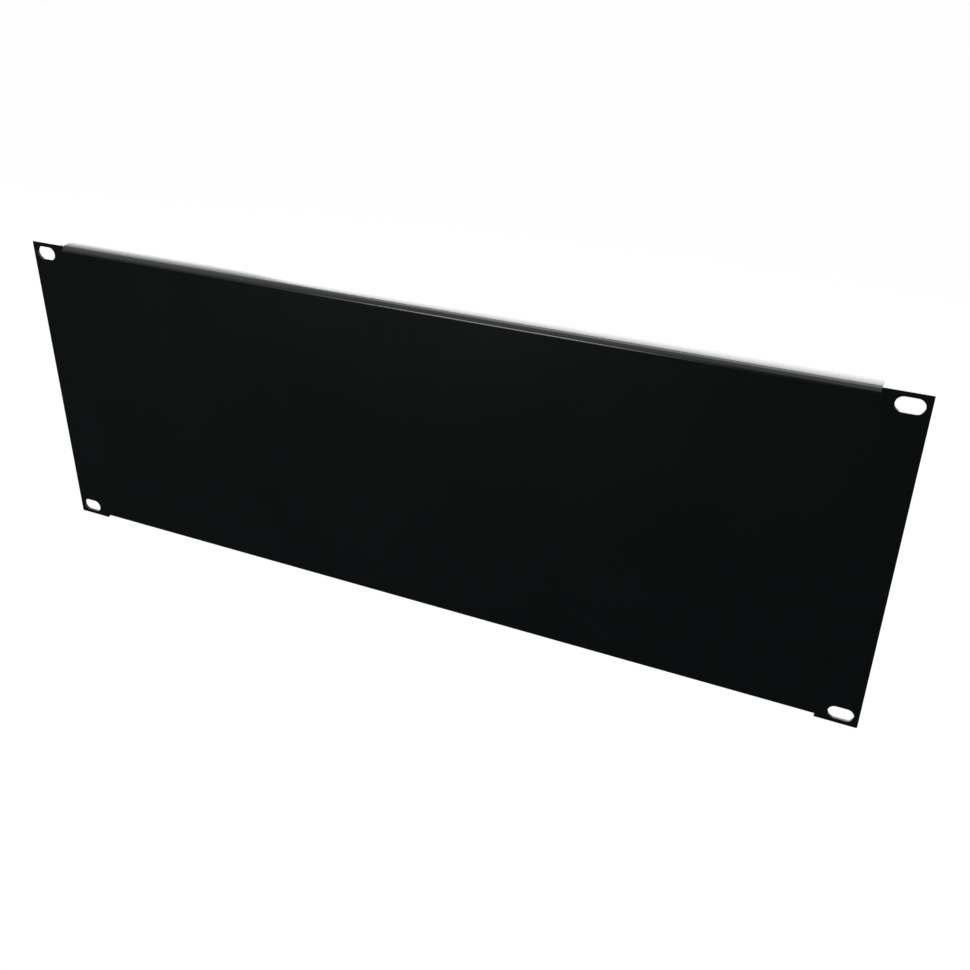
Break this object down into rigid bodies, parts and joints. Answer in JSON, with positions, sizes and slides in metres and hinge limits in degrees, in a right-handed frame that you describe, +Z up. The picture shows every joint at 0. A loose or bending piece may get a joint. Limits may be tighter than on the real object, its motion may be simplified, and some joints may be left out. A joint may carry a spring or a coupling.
{
  "type": "rack blanking panel",
  "caption": "Flat steel front panel that closes empty rack space, its top and bottom edges folded back as stiffening flanges, with oblong screw slots in its ears.",
  "frame": {"origin": "centre of the screw slot pattern, on the rear plane of the sheet that seats on the rack rails", "axes": "+X along the panel's width, to the right as seen from the front; +Y into the rack, the way the flanges point; +Z up the panel's height"},
  "size_m": [0.4826, 0.009, 0.177],
  "materials": {
    "powder_coat": "satin black powder coat, very fine texture"
  },
  "bodies": {
    "root": {"blank_panel": "powder_coat"}
  },
  "joints": []
}
